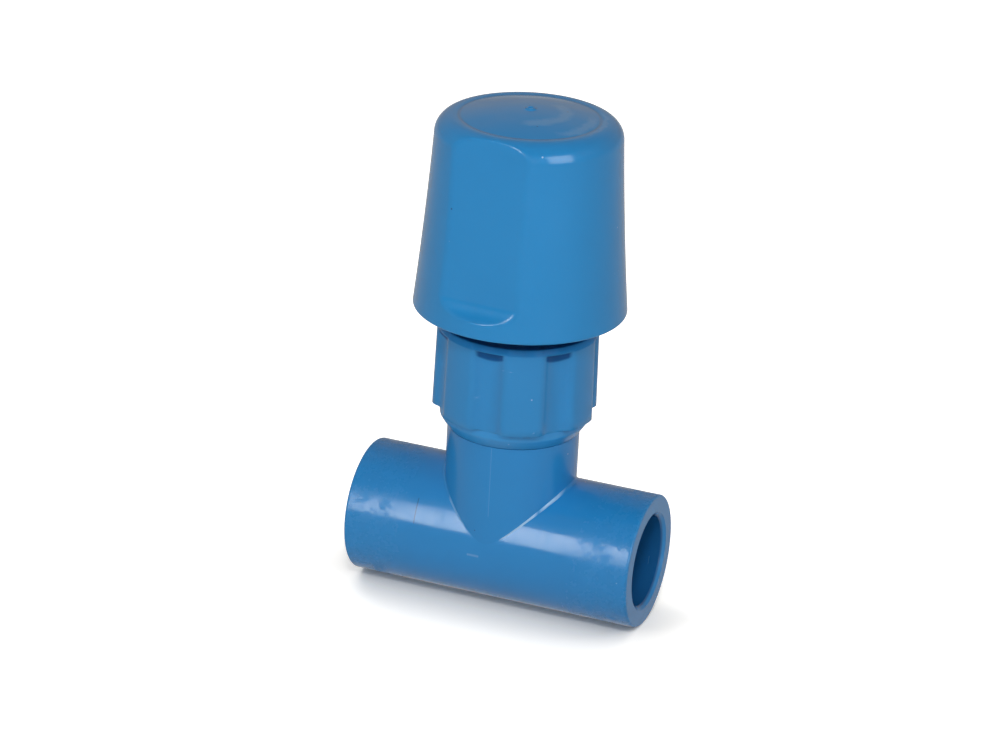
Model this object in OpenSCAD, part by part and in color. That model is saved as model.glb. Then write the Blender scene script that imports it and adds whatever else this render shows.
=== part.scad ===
// Shut-off valve for glued plastic pipe, with a tee body, a fluted union nut,
// a screw-down spindle and a tall cup handle with two thumb flats.
// Origin: under the middle of the body tube. +X: flow. +Z: spindle.

/* [Body tube] */
// Length of the body between its two pipe ends
body_length = 66.2; // [60:0.1:90]
// Outside diameter of the body tube
tube_od = 29.5; // [28:0.1:34]
// Bore of each pipe socket, for a 20 mm pipe
socket_bore = 20.2; // [20:0.1:21.5]
// Depth of each pipe socket
socket_depth = 16; // [10:0.5:18]
// Chamfer that leads the pipe into a socket
socket_lead = 0.9; // [0.3:0.1:1.5]
// Rounding of the outer rim of each pipe end
rim_round = 0.5; // [0.2:0.1:1]

/* [Water way] */
// Bore of the two water ways between the sockets and the seat
way_bore = 9.4; // [7:0.2:9.6]
// Height of the outlet way above the tube axis, and of the inlet way below it
way_offset = 5.1; // [5:0.1:5.2]
// Bore of the seat
seat_bore = 8.8; // [7:0.2:9.2]
// Width of the raised lip round the seat
seat_lip = 1.6; // [1:0.1:2]
// Height of the raised lip above the chamber floor
seat_rise = 1.2; // [0.8:0.1:2]
// Thickness of the wall between the inlet way and the chamber floor
seat_wall = 2.6; // [2:0.1:3.4]
// Bore of the chamber above the seat
chamber_bore = 18; // [17:0.2:18.6]

/* [Neck] */
// Outside diameter of the neck below the nut
neck_od = 28.9; // [28:0.1:29.4]
// Height of the neck's shoulder above the underside of the tube
shoulder_z = 40.7; // [38:0.1:41.2]
// Height of the neck's top above the underside of the tube
neck_top_z = 55.5; // [54:0.1:57]
// Outside diameter of the screwed land that the nut goes over
land_od = 26.4; // [26:0.1:27]
// Bore of the neck for the bonnet's spigot
neck_bore = 20.4; // [20:0.1:21]

/* [Bonnet nut] */
// Gap between the neck's shoulder and the nut
nut_gap = 0.3; // [0.2:0.1:0.6]
// Height of the conical foot of the nut
nut_foot = 2.3; // [1.5:0.1:3.4]
// Outside diameter of the nut's lower edge
nut_edge_od = 29.1; // [28.8:0.1:30]
// Outside diameter of the skirt under the pads
nut_skirt_od = 32.5; // [32:0.1:33]
// Outside diameter over the pads at their lower end
pad_od = 35.9; // [34:0.1:38]
// How much smaller the diameter over the pads is at the top
pad_draft = 0.8; // [0:0.1:1.4]
// Height of the pads' lower end above the nut's lower edge
pad_start = 4; // [3.6:0.1:7]
// Number of pads round the nut
pad_count = 7; // [5:1:9]
// Radius of the concave flutes between the pads
flute_radius = 4.5; // [3:0.1:5]
// Diameter over the bottoms of the flutes
flute_od = 32.1; // [31.4:0.1:32.4]
// Rounding of the pads' long edges
pad_round = 1.5; // [0.8:0.1:2]
// Thickness of the inward lip at the top of the nut
nut_lip = 3.4; // [2.5:0.1:4]
// Turn of the nut about the spindle
nut_turn = 26.1; // [0:0.1:51]

/* [Bonnet] */
// Thickness of the flat gasket under the bonnet
gasket_t = 1.2; // [0.8:0.1:2]
// Thickness of the bonnet's flange
flange_t = 4; // [3:0.1:5]
// Thickness of the slip ring between the flange and the nut
slip_t = 0.8; // [0.5:0.1:1.2]
// Length of the spigot that goes down into the neck
spigot_length = 18.2; // [16:0.2:19]
// Outside diameter of the tower that stands up inside the handle
tower_od = 16.8; // [16:0.1:17.4]
// Height of the tower above the flange
tower_height = 19.8; // [18:0.2:22]
// Depth of the packing box in the top of the tower
box_depth = 12; // [10:0.2:12.6]
// Bore of the packing box
box_bore = 13; // [12:0.1:13.4]
// Diameter of the ring that seals the bonnet in the neck
seal_section = 1.8; // [1.5:0.1:2]

/* [Gland] */
// Thickness of the washer at the bottom of the packing box
gland_washer_t = 1; // [0.6:0.1:1.4]
// Height of one of the two packing rings
packing_h = 3.5; // [2.5:0.1:3.6]
// Height of the gland nut's hexagon
gland_head = 5.6; // [4:0.1:6]
// Width of the gland nut's hexagon across its flats
gland_flats = 15; // [14:0.1:16]

/* [Spindle] */
// Diameter of the spindle's shaft
shaft_d = 8; // [7:0.1:8.4]
// Diameter over the spindle's screw
screw_d = 12; // [11:0.1:12.6]
// Length of the spindle's screw
screw_length = 17; // [15:0.2:17.4]
// Full lift of the seat washer off the seat
lift = 6; // [4:0.2:6]
// Diameter of the tail that carries the plug
tail_d = 5; // [4:0.1:5.4]
// Length of the tail
tail_length = 7.4; // [6:0.1:7.4]
// Thickness of the washer that meets the bonnet when fully open
back_seat_t = 1; // [0.6:0.1:1.4]
// Length of the toothed drive at the top of the spindle
spline_length = 13.6; // [10:0.2:15]
// Number of teeth on the drive
spline_teeth = 16; // [8:1:24]
// Depth of the teeth
spline_depth = 0.5; // [0.3:0.05:0.6]

/* [Plug] */
// Thickness of the seat washer
seat_washer_t = 3.2; // [2.4:0.1:3.6]
// Thickness of the plug's disc
plug_disc_t = 2.6; // [2:0.1:3]
// Outside diameter of the plug's cup
plug_od = 15.8; // [15.4:0.1:16.4]
// Depth of the cup that holds the seat washer
cup_depth = 2; // [1.2:0.1:2.2]
// Height of the plug's boss above its disc
plug_boss_h = 8.6; // [8:0.1:9]
// Outside diameter of the plug's boss
plug_boss_od = 10; // [9:0.1:11]
// Number of guide fins on the plug
fin_count = 4; // [3:1:6]
// Thickness of a guide fin
fin_t = 1.4; // [1:0.1:2]
// Diameter of the screw that holds the seat washer
pin_screw_d = 3; // [2.5:0.1:3.5]
// Diameter of the plate under that screw's head
plate_d = 7; // [6:0.1:7.2]

/* [Handle] */
// Height of the handle's lower edge above the underside of the tube
handle_z = 68.3; // [67:0.1:72]
// Height of the handle from its lower edge to its top
handle_h = 44.4; // [42:0.1:50]
// Diameter of the handle's lower edge
handle_od = 46.3; // [44:0.1:52]
// Diameter of the handle where its shoulder starts
handle_top_d = 40.2; // [38:0.1:44]
// How far the side is hollowed in from a straight line
handle_flare = 0.22; // [0:0.02:0.6]
// Radius of the rolled shoulder round the top
shoulder_r = 4.1; // [3.2:0.1:6]
// Rise of the domed top over its edge
dome_rise = 1.8; // [1:0.1:2.4]
// How far the domed top's edge lies inside the crest of the shoulder
dome_inset = 1; // [0.2:0.1:2]
// Wall of the handle
handle_wall = 2.2; // [1.8:0.1:2.8]
// Half of the angle that one thumb flat takes up at its lower end
flat_low_angle = 23.5; // [15:0.1:28]
// Half of the angle that one thumb flat takes up at the shoulder
flat_high_angle = 26; // [18:0.1:30]
// Height above the handle's lower edge at which the flats start
flat_start = 7.4; // [6:0.1:12]
// Radius of the sweep at the lower end of a flat
flat_sweep = 5; // [2:0.1:5.6]
// Turn of the flats about the spindle
flat_turn = -4.6; // [-45:0.1:45]
// Outside diameter of the boss inside the handle
boss_od = 13.2; // [12.8:0.1:14]
// Number of ribs between the boss and the wall
rib_count = 6; // [4:1:8]
// Thickness of a rib
rib_t = 1.6; // [1.2:0.1:2]
// Height of the ribs where they meet the wall
rib_h = 7; // [5:0.5:9]
// Diameter of the moulding mark on top
gate_d = 2.2; // [1.5:0.1:3]
// Height of the moulding mark
gate_h = 0.3; // [0.1:0.05:0.5]

/* [Fits] */
// Radial clearance of a turning or sliding fit
run_fit = 0.05; // [0.02:0.01:0.09]
// Radial clearance of a screwed or loose fixed fit
loose_fit = 0.15; // [0.1:0.01:0.2]
// End clearance between turning faces
end_fit = 0.1; // [0.05:0.01:0.15]

/* [Hidden] */

$fn = 96;
over = 1;
pvc_blue = [0.16, 0.48, 0.74];
pvc_dark = [0.13, 0.42, 0.68];
pale_plastic = [0.88, 0.88, 0.84];
rubber = [0.12, 0.12, 0.13];
steel = [0.7, 0.72, 0.74];
brass = [0.78, 0.62, 0.3];

// Body levels and radii
axis_z = tube_od / 2;
way_r = way_bore / 2;
inlet_z = axis_z - way_offset;
outlet_z = axis_z + way_offset;
floor_z = inlet_z + way_r + seat_wall;
seat_z = floor_z + seat_rise;
seat_r = seat_bore / 2;
lip_slope = 0.7;
chamber_r = chamber_bore / 2;
socket_end_x = body_length / 2 - socket_depth;
socket_r = socket_bore / 2;
way_sump = 2;
inlet_end_x = 3;
outlet_start_x = 6.4;
land_chamfer = 0.8;
bore_step = 0.8;

// Bonnet, gasket and nut levels
flange_z = neck_top_z + gasket_t;
slip_z = flange_z + flange_t;
lip_z = slip_z + slip_t;
nut_z = shoulder_z + nut_gap;
nut_top_z = lip_z + nut_lip;
nut_height = nut_top_z - nut_z;
nut_bore_r = land_od / 2 + loose_fit;
flange_r = nut_bore_r - loose_fit;
tower_r = tower_od / 2;
lip_bore_r = tower_r + 2 * loose_fit;
spigot_r = neck_bore / 2 - loose_fit;
spigot_z = flange_z - spigot_length;
tower_top_z = slip_z + tower_height;
box_z = tower_top_z - box_depth;
box_r = box_bore / 2;
shaft_r = shaft_d / 2;
screw_r = screw_d / 2;
tower_chamfer = 0.6;

// Plug and spindle levels, built up from the seat
cup_z = seat_z + seat_washer_t;
disc_top_z = cup_z + plug_disc_t;
plug_top_z = disc_top_z + plug_boss_h;
screw_z = plug_top_z + end_fit;
screw_top_z = screw_z + screw_length;
ceiling_z = screw_top_z + back_seat_t + lift + 2 * end_fit;
tail_z = screw_z - tail_length;
tail_r = tail_d / 2;
clip_t = 0.8;
clip_z = tail_z + 0.55 * tail_length;
clip_groove = 0.6;
cup_rim = 1;
seat_washer_r = plug_od / 2 - cup_rim - run_fit;
pin_r = pin_screw_d / 2;
plate_t = 0.7;
pin_head_h = 1.3;
pin_head_r = 1.9 * pin_r;
pin_length = seat_washer_t + plug_disc_t - 0.9;

// Seal ring of the bonnet
seal_r = seal_section / 2;
seal_z = spigot_z + 0.45 * spigot_length;
seal_mid_r = neck_bore / 2 - run_fit - seal_r;

// Gland levels
packing_z = box_z + gland_washer_t;
gland_z = packing_z + 2 * packing_h;
gland_top_z = tower_top_z + gland_head;

// Handle levels and radii
crown_h = handle_h - dome_rise;
turn_r = handle_top_d / 2 - shoulder_r;
side_h = crown_h - sqrt(shoulder_r * shoulder_r - dome_inset * dome_inset);
dome_r = turn_r - dome_inset;
dome_ball_r = (dome_r * dome_r + dome_rise * dome_rise) / (2 * dome_rise);
side_steps = 8;
boss_r = boss_od / 2;
boss_gap = 2;
boss_z = gland_top_z + boss_gap;
spline_z = boss_z;
spline_r = shaft_r - 0.05;
drive_gap = 0.8;
snap_z = spline_z + 0.7 * spline_length;
snap_h = 1.2;
snap_depth = 0.35;
slit_w = 1.2;
slit_h = 7;
clip_wire_r = 0.55;
wire_z = boss_z + 2.2;
wire_mid_r = boss_r + 0.15;
skirt_edge = 0.5;

// Radius of the handle's side at a height above its lower edge
function side_r(h) =
    let (t = h / side_h)
    handle_od / 2 + (handle_top_d - handle_od) / 2 * t - 4 * handle_flare * t * (1 - t);

// Distance of a thumb flat from the spindle at a height above the handle's lower edge
flat_low_d = side_r(flat_start) * cos(flat_low_angle);
flat_high_d = side_r(side_h) * cos(flat_high_angle);
flat_slope = (flat_low_d - flat_high_d) / (side_h - flat_start);
function flat_d(h) = flat_low_d - flat_slope * (h - flat_start);

// A ring of rectangular section between two radii
module ring(outer_r, inner_r, z, h) {
    translate([0, 0, z])
        difference() {
            cylinder(r = outer_r, h = h);
            translate([0, 0, -over])
                cylinder(r = inner_r, h = h + 2 * over);
        }
}

// Copies its children round the spindle
module around(count, first = 0) {
    for (i = [0 : count - 1])
        rotate([0, 0, first + i * 360 / count])
            children();
}

// Both ends of the tube, the second one turned end for end
module both_ends() {
    for (turn = [0, 180])
        translate([0, 0, axis_z])
            rotate([0, 0, turn])
                rotate([0, 90, 0])
                    children();
}

// The tube's section, turned about its axis, with rounded rims
module tube_blank() {
    half = body_length / 2;
    tube_r = tube_od / 2;
    translate([0, 0, axis_z])
        rotate([0, 90, 0])
            rotate_extrude()
                difference() {
                    translate([0, -half])
                        square([tube_r, body_length]);
                    for (side = [0, 1])
                        mirror([0, side])
                            rim_corner(tube_r, half);
                }
}

// What a rounded rim leaves away at a corner
module rim_corner(corner_r, corner_y) {
    difference() {
        translate([corner_r - rim_round, corner_y - rim_round])
            square(rim_round + over);
        translate([corner_r - rim_round, corner_y - rim_round])
            circle(rim_round);
    }
}

// One pipe socket with its chamfered mouth
module socket() {
    mouth = body_length / 2;
    rotate_extrude()
        polygon([[0, socket_end_x], [socket_r, socket_end_x], [socket_r, mouth - socket_lead],
                 [socket_r + socket_lead, mouth], [socket_r + socket_lead, mouth + over],
                 [0, mouth + over]]);
}

// Seat bore, chamber and spigot bore, cut in one turn about the spindle
module chamber_cut() {
    lip_r = seat_r + seat_lip;
    step_z = spigot_z - bore_step;
    rotate_extrude()
        polygon([[0, inlet_z - way_sump], [seat_r, inlet_z - way_sump], [seat_r, seat_z],
                 [lip_r, seat_z], [lip_r + lip_slope, floor_z], [chamber_r, floor_z],
                 [chamber_r, step_z], [neck_bore / 2, spigot_z], [neck_bore / 2, neck_top_z + over],
                 [0, neck_top_z + over]]);
}

module body() {
    color(pvc_dark)
        difference() {
            union() {
                tube_blank();
                neck_blank();
            }
            both_ends()
                socket();
            water_way(inlet_z, -socket_end_x - over, inlet_end_x);
            water_way(outlet_z, outlet_start_x, socket_end_x + over);
            chamber_cut();
        }
}

// The neck with its shoulder and the land for the nut's screw
module neck_blank() {
    land_r = land_od / 2;
    rotate_extrude()
        polygon([[0, axis_z], [neck_od / 2, axis_z], [neck_od / 2, shoulder_z],
                 [land_r, shoulder_z], [land_r, neck_top_z - land_chamfer],
                 [land_r - land_chamfer, neck_top_z], [0, neck_top_z]]);
}

// A straight round way along the tube
module water_way(z, from_x, to_x) {
    translate([from_x, 0, z])
        rotate([0, 90, 0])
            cylinder(r = way_r, h = to_x - from_x);
}

// Half of the angle between the two pad edges beside a flute
function flute_half(mid, edge) =
    acos((mid * mid + edge * edge - pow(flute_radius + pad_round, 2)) / (2 * mid * edge));

// The nut's outline, with concave flutes between rounded pads
module nut_outline() {
    trim_r = pad_od / 2 + 0.4;
    flute_mid = flute_od / 2 + flute_radius;
    edge_mid = pad_od / 2 - pad_round;
    half = flute_half(flute_mid, edge_mid);
    far = trim_r + over;
    difference() {
        circle(trim_r);
        for (i = [0 : pad_count - 1])
            rotate(nut_turn - 90 + (i + 0.5) * 360 / pad_count)
                difference() {
                    union() {
                        polygon([[flute_mid, 0], [edge_mid * cos(half), -edge_mid * sin(half)],
                                 [far * cos(half), -far * sin(half)], [far + over, 0],
                                 [far * cos(half), far * sin(half)],
                                 [edge_mid * cos(half), edge_mid * sin(half)]]);
                        translate([flute_mid, 0])
                            circle(flute_radius);
                    }
                    for (side = [-1, 1])
                        translate([edge_mid * cos(half), side * edge_mid * sin(half)])
                            circle(pad_round);
                }
    }
}

// The nut's profile: conical foot, skirt, drafted pads and chamfered top
module nut_profile() {
    skirt_r = nut_skirt_od / 2;
    pad_low_r = pad_od / 2;
    pad_high_r = pad_low_r - pad_draft / 2;
    pad_edge = 0.25;
    top_edge = 0.6;
    polygon([[0, 0], [nut_edge_od / 2, 0], [skirt_r, nut_foot], [skirt_r, pad_start],
             [pad_low_r - pad_edge, pad_start], [pad_low_r, pad_start + pad_edge],
             [pad_high_r, nut_height - top_edge], [pad_high_r - top_edge, nut_height],
             [0, nut_height]]);
}

module bonnet_nut() {
    color(pvc_dark)
        difference() {
            intersection() {
                translate([0, 0, nut_z - over])
                    linear_extrude(nut_height + 2 * over)
                        nut_outline();
                translate([0, 0, nut_z])
                    rotate_extrude()
                        nut_profile();
            }
            translate([0, 0, nut_z - over])
                cylinder(r = nut_bore_r, h = lip_z - nut_z + over);
            translate([0, 0, lip_z - over])
                cylinder(r = lip_bore_r, h = nut_top_z - lip_z + 2 * over);
        }
}

module slip_ring() {
    color(pale_plastic)
        ring(flange_r, lip_bore_r, slip_z, slip_t);
}

module bonnet() {
    color(pale_plastic)
        rotate_extrude()
            difference() {
                polygon([[shaft_r + run_fit, ceiling_z], [screw_r + run_fit, ceiling_z],
                         [screw_r + run_fit, spigot_z], [spigot_r, spigot_z],
                         [spigot_r, flange_z], [flange_r, flange_z], [flange_r, slip_z],
                         [tower_r, slip_z], [tower_r, tower_top_z - tower_chamfer],
                         [tower_r - tower_chamfer, tower_top_z], [box_r, tower_top_z],
                         [box_r, box_z], [shaft_r + run_fit, box_z]]);
                translate([seal_mid_r - seal_r - run_fit, seal_z - seal_r - end_fit])
                    square([seal_section + over, seal_section + 2 * end_fit]);
            }
}

module bonnet_gasket() {
    color(rubber)
        ring(flange_r, neck_bore / 2, neck_top_z, gasket_t);
}

module bonnet_o_ring() {
    color(rubber)
        translate([0, 0, seal_z])
            rotate_extrude()
                translate([seal_mid_r, 0])
                    circle(seal_r, $fn = 48);
}

module gland_washer() {
    color(brass)
        ring(box_r - run_fit, shaft_r + run_fit, box_z, gland_washer_t);
}

module gland_packing() {
    packing_gap = 0.02;
    color(rubber)
        for (i = [0, 1])
            ring(box_r - run_fit, shaft_r + run_fit, packing_z + i * packing_h,
                 packing_h - (1 - i) * packing_gap);
}

// Hollow screw with a hexagon that presses on the packing
module gland_nut() {
    hex_r = gland_flats / 2 / cos(30);
    color(pale_plastic)
        difference() {
            union() {
                translate([0, 0, gland_z])
                    cylinder(r = box_r - loose_fit, h = tower_top_z - gland_z + over / 2);
                translate([0, 0, tower_top_z])
                    cylinder(r = hex_r, h = gland_head, $fn = 6);
            }
            translate([0, 0, gland_z - over])
                cylinder(r = shaft_r + run_fit, h = gland_top_z - gland_z + 2 * over);
        }
}

// Outline of a toothed drive, by the radii over its tips and roots
module spline_outline(tip_r, root_r) {
    step = 180 / spline_teeth;
    polygon([for (i = [0 : 2 * spline_teeth - 1])
        let (r = i % 2 == 0 ? tip_r : root_r)
        [r * cos(i * step), r * sin(i * step)]]);
}

module stem() {
    screw_chamfer = 0.8;
    tail_tip = 0.5;
    neck_r = spline_r - spline_depth - 0.1;
    color(pale_plastic)
        union() {
            rotate_extrude()
                polygon([[0, tail_z], [tail_r - tail_tip, tail_z], [tail_r, tail_z + tail_tip],
                         [tail_r, clip_z - end_fit], [tail_r - clip_groove, clip_z - end_fit],
                         [tail_r - clip_groove, clip_z + clip_t + end_fit],
                         [tail_r, clip_z + clip_t + end_fit], [tail_r, screw_z],
                         [screw_r - screw_chamfer, screw_z], [screw_r, screw_z + screw_chamfer],
                         [screw_r, screw_top_z], [shaft_r, screw_top_z], [shaft_r, spline_z - over],
                         [neck_r, spline_z - over], [neck_r, spline_z + over],
                         [0, spline_z + over]]);
            difference() {
                translate([0, 0, spline_z])
                    linear_extrude(spline_length)
                        spline_outline(spline_r, spline_r - spline_depth);
                ring(shaft_r + over, spline_r - spline_depth - snap_depth, snap_z, snap_h);
            }
        }
}

module back_seat_washer() {
    color(brass)
        ring(screw_r - loose_fit, shaft_r + run_fit, screw_top_z, back_seat_t);
}

// Cup for the seat washer, boss for the spindle's tail and fins that guide it
module plug() {
    fin_r = chamber_r - loose_fit;
    fin_low = cup_z - cup_depth + 0.6;
    fin_high = plug_top_z - 2;
    color(pale_plastic)
        difference() {
            union() {
                translate([0, 0, cup_z - cup_depth])
                    cylinder(r = plug_od / 2, h = cup_depth + plug_disc_t);
                translate([0, 0, disc_top_z - over])
                    cylinder(r = plug_boss_od / 2, h = plug_boss_h + over);
                around(fin_count, 45)
                    translate([0, -fin_t / 2, fin_low])
                        cube([fin_r, fin_t, fin_high - fin_low]);
            }
            translate([0, 0, cup_z - cup_depth - over])
                cylinder(r = plug_od / 2 - cup_rim, h = cup_depth + over);
            translate([0, 0, tail_z - end_fit])
                cylinder(r = tail_r + run_fit, h = tail_length + 2 * end_fit + over);
            translate([0, 0, cup_z - over])
                cylinder(r = pin_r, h = pin_length - seat_washer_t + over + end_fit);
            clip_slot();
        }
}

// Slot through the plug's boss for the clip, open to one side
module clip_slot() {
    slot_r = tail_r + 1.3;
    translate([0, 0, clip_z - end_fit / 2])
        union() {
            cylinder(r = slot_r, h = clip_t + end_fit);
            translate([0, -slot_r, 0])
                cube([plug_od, 2 * slot_r, clip_t + end_fit]);
        }
}

// Open spring clip in the groove of the spindle's tail
module plug_clip() {
    clip_in = tail_r - clip_groove + run_fit;
    clip_out = tail_r + 1.2;
    mouth = 0.8 * clip_in;
    color(steel)
        difference() {
            ring(clip_out, clip_in, clip_z, clip_t);
            translate([0, -mouth, clip_z - over])
                cube([clip_out + over, 2 * mouth, clip_t + 2 * over]);
        }
}

module seat_washer() {
    color(rubber)
        ring(seat_washer_r, pin_r + run_fit, seat_z, seat_washer_t);
}

module washer_plate() {
    color(steel)
        ring(plate_d / 2, pin_r + run_fit, seat_z - plate_t, plate_t);
}

// Pan-head screw with a crossed recess
module washer_screw() {
    head_z = seat_z - plate_t - pin_head_h;
    recess = 0.7;
    recess_w = 0.6;
    color(steel)
        difference() {
            union() {
                translate([0, 0, head_z])
                    cylinder(r = pin_head_r, h = pin_head_h);
                translate([0, 0, head_z])
                    cylinder(r = pin_r - run_fit, h = pin_head_h + plate_t + pin_length);
            }
            for (turn = [0, 90])
                rotate([0, 0, turn])
                    translate([-pin_head_r * 0.6, -recess_w / 2, head_z - over])
                        cube([pin_head_r * 1.2, recess_w, recess + over]);
        }
}

// The handle's turned outside, with a flared side, rolled shoulder and domed top
module handle_outline() {
    union() {
        polygon(concat([[0, 0]],
                       [[side_r(0) - skirt_edge, 0]],
                       [for (i = [0 : side_steps])
                           let (h = skirt_edge + (side_h - skirt_edge) * i / side_steps)
                           [side_r(h), h]],
                       [[dome_r, crown_h], [0, crown_h]]));
        translate([turn_r, side_h])
            circle(shoulder_r);
        intersection() {
            translate([0, handle_h - dome_ball_r])
                circle(dome_ball_r, $fn = 180);
            square([dome_r, handle_h]);
        }
    }
}

// The hollow inside the handle's wall
module handle_hollow() {
    hollow_top = crown_h - handle_wall;
    inner_round = shoulder_r - handle_wall;
    top_r = turn_r + inner_round;
    polygon([[0, -over], [side_r(0) - handle_wall, -over], [side_r(0) - handle_wall, 0],
             [side_r(side_h / 2) - handle_wall, side_h / 2], [top_r, side_h],
             [top_r - inner_round * 0.3, hollow_top - inner_round * 0.3],
             [turn_r, hollow_top], [0, hollow_top]]);
}

// Section of the space that a thumb flat takes from the side
module flat_section(shift) {
    tilt = atan(flat_slope);
    top_h = handle_h + over;
    low = [flat_d(flat_start) - shift, flat_start];
    low_c = low + flat_sweep * [cos(tilt), sin(tilt)];
    far = handle_od;
    union() {
        polygon([low, [flat_d(top_h) - shift, top_h], [far, top_h],
                 [far, low_c[1] - flat_sweep], low_c - [0, flat_sweep]]);
        translate(low_c)
            circle(flat_sweep);
    }
}

// The two thumb flats, on opposite sides
module flat_cuts(shift) {
    width = handle_od;
    for (turn = [0, 180])
        rotate([0, 0, flat_turn - 90 + turn])
            rotate([90, 0, 0])
                translate([0, 0, -width / 2])
                    linear_extrude(width)
                        flat_section(shift);
}

// Ribs that tie the boss to the wall and the top, cut away in a slope below
module handle_ribs() {
    root = crown_h - handle_wall + over / 2;
    low = side_h - rib_h;
    boss_low = boss_z - handle_z + slit_h + over;
    around(rib_count, flat_turn)
        rotate([90, 0, 0])
            translate([0, 0, -rib_t / 2])
                linear_extrude(rib_t)
                    polygon([[boss_r - over, boss_low], [side_r(low), low],
                             [side_r(low), root], [boss_r - over, root]]);
}

// Boss with the toothed bore, slits at its foot and a groove for its clip
module handle_boss() {
    boss_h = boss_z - handle_z;
    difference() {
        translate([0, 0, boss_h])
            cylinder(r = boss_r, h = crown_h - handle_wall - boss_h + over / 2);
        translate([0, 0, boss_h - over])
            linear_extrude(spline_length + drive_gap + over)
                spline_outline(spline_r + run_fit, spline_r - spline_depth + run_fit);
        around(2, 30)
            translate([-boss_r - over, -slit_w / 2, boss_h - over])
                cube([2 * (boss_r + over), slit_w, slit_h + over]);
        translate([0, 0, wire_z - handle_z])
            rotate_extrude()
                translate([wire_mid_r, 0])
                    circle(clip_wire_r + run_fit, $fn = 32);
    }
}

module handle() {
    color(pvc_blue)
        translate([0, 0, handle_z])
            difference() {
                union() {
                    rotate_extrude()
                        handle_outline();
                    translate([0, 0, handle_h - over])
                        cylinder(r = gate_d / 2, h = over + gate_h);
                }
                flat_cuts(0);
                difference() {
                    rotate_extrude()
                        handle_hollow();
                    flat_cuts(handle_wall);
                    handle_ribs();
                    handle_boss();
                }
                translate([0, 0, handle_h - over / 10])
                    cylinder(r = gate_d / 4, h = over);
            }
}

// Spring wire ring that closes the boss on the spindle
module handle_clip() {
    color(steel)
        difference() {
            translate([0, 0, wire_z])
                rotate_extrude()
                    translate([wire_mid_r, 0])
                        circle(clip_wire_r, $fn = 32);
            translate([0, -1, wire_z - over])
                cube([boss_od, 2, 2 * over]);
        }
}

body();
bonnet_nut();
slip_ring();
bonnet();
bonnet_gasket();
bonnet_o_ring();
gland_washer();
gland_packing();
gland_nut();
stem();
back_seat_washer();
plug();
plug_clip();
seat_washer();
washer_plate();
washer_screw();
handle();
handle_clip();
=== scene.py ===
"""Looks of the shut-off valve: a blue moulded body, a fluted nut and a tall cup handle, on a white floor."""
import math

import bpy
import numpy as np
from mathutils import Matrix, Vector


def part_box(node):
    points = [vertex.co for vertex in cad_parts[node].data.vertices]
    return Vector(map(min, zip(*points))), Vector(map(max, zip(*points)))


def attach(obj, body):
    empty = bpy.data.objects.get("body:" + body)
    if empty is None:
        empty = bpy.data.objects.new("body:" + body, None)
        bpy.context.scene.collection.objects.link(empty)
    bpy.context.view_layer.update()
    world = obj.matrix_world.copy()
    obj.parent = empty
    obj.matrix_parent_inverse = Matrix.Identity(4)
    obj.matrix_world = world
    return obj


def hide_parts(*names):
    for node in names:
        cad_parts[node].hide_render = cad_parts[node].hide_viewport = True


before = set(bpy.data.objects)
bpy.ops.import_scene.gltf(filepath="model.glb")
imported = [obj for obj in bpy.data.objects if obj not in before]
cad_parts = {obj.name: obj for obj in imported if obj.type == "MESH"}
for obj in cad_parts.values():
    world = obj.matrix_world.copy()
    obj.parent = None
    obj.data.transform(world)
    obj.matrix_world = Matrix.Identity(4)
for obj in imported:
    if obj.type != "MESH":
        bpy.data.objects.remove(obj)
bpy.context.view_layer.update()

MM = 0.001

# Camera, found by fitting the valve's outlines in the photograph
LENS_MM = 125.13
SENSOR_MM = 36.0
CAMERA_AZIMUTH = 20.66
CAMERA_ELEVATION = 22.46
CAMERA_ROLL = 2.99
CAMERA_DISTANCE = 761.55
CAMERA_AIM = (0.0, 0.0, 29.5)
CAMERA_RIGHT = -2.429
CAMERA_UP = 21.938

# Tube and neck, in millimetres
TUBE_R = 14.75
TUBE_AXIS_Z = 14.75
NECK_R = 14.45
SADDLE_FILLET = 0.6

# Nut, in millimetres
PAD_COUNT = 7
PAD_R = 17.95
PAD_DRAFT = 0.4
PAD_START = 4.0
PAD_ROUND = 2.3
FLUTE_R = 5.2
FLUTE_BOTTOM_R = 16.2
NUT_TURN = 26.1
NUT_BORE_R = 13.35
NUT_LIP_BORE_R = 8.7
NUT_LIP_Z = 61.5
SKIRT_R = 16.25
NUT_EDGE_R = 14.55
NUT_FOOT = 2.3
NUT_TOP_ROUND = 0.35
NUT_BEVEL = 0.3
NUT_LOW = 0.22
COLLAR_R = 17.45
COLLAR_H = 1.5
COLLAR_LEAN = 0.3
FLUTE_RUNOUT = 0.7

# Handle, in millimetres above its lower edge or from the spindle
HANDLE_R = 23.15
HANDLE_TOP_R = 20.1
HANDLE_FLARE = 0.22
HANDLE_H = 44.4
SHOULDER_R = 4.1
DOME_RISE = 1.8
DOME_INSET = 1.0
HANDLE_WALL = 2.2
FLAT_TURN = -4.6
FLAT_LOW_ANGLE = 23.5
FLAT_HIGH_ANGLE = 26.0
FLAT_START = 7.4
FLAT_SWEEP = 5.0
FLAT_EDGE = 0.4
GATE_R = 1.1
GATE_H = 0.3
BOSS_R = 6.6
BOSS_Z = 19.8
SPLINE_TEETH = 16
SPLINE_R = 4.0
SPLINE_DEPTH = 0.5
SPLINE_TOP = 34.2
RIB_COUNT = 6
RIB_T = 1.6
RIB_LOW_WALL = 31.6
RIB_LOW_BOSS = 27.8
RIB_REACH = 3.3
ROOT_DEPTH = 0.4
CEILING_ROOT = 0.3
BOSS_BEVEL = 0.3
# Radius, width and depth of the dips over the ribs, the boss and the start of the wall
DIP_RIBS = (11.5, 3.4, 0.05)
DIP_BOSS = (BOSS_R, 1.8, 0.035)
DIP_WALL = (15.6, 0.7, 0.03)


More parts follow.
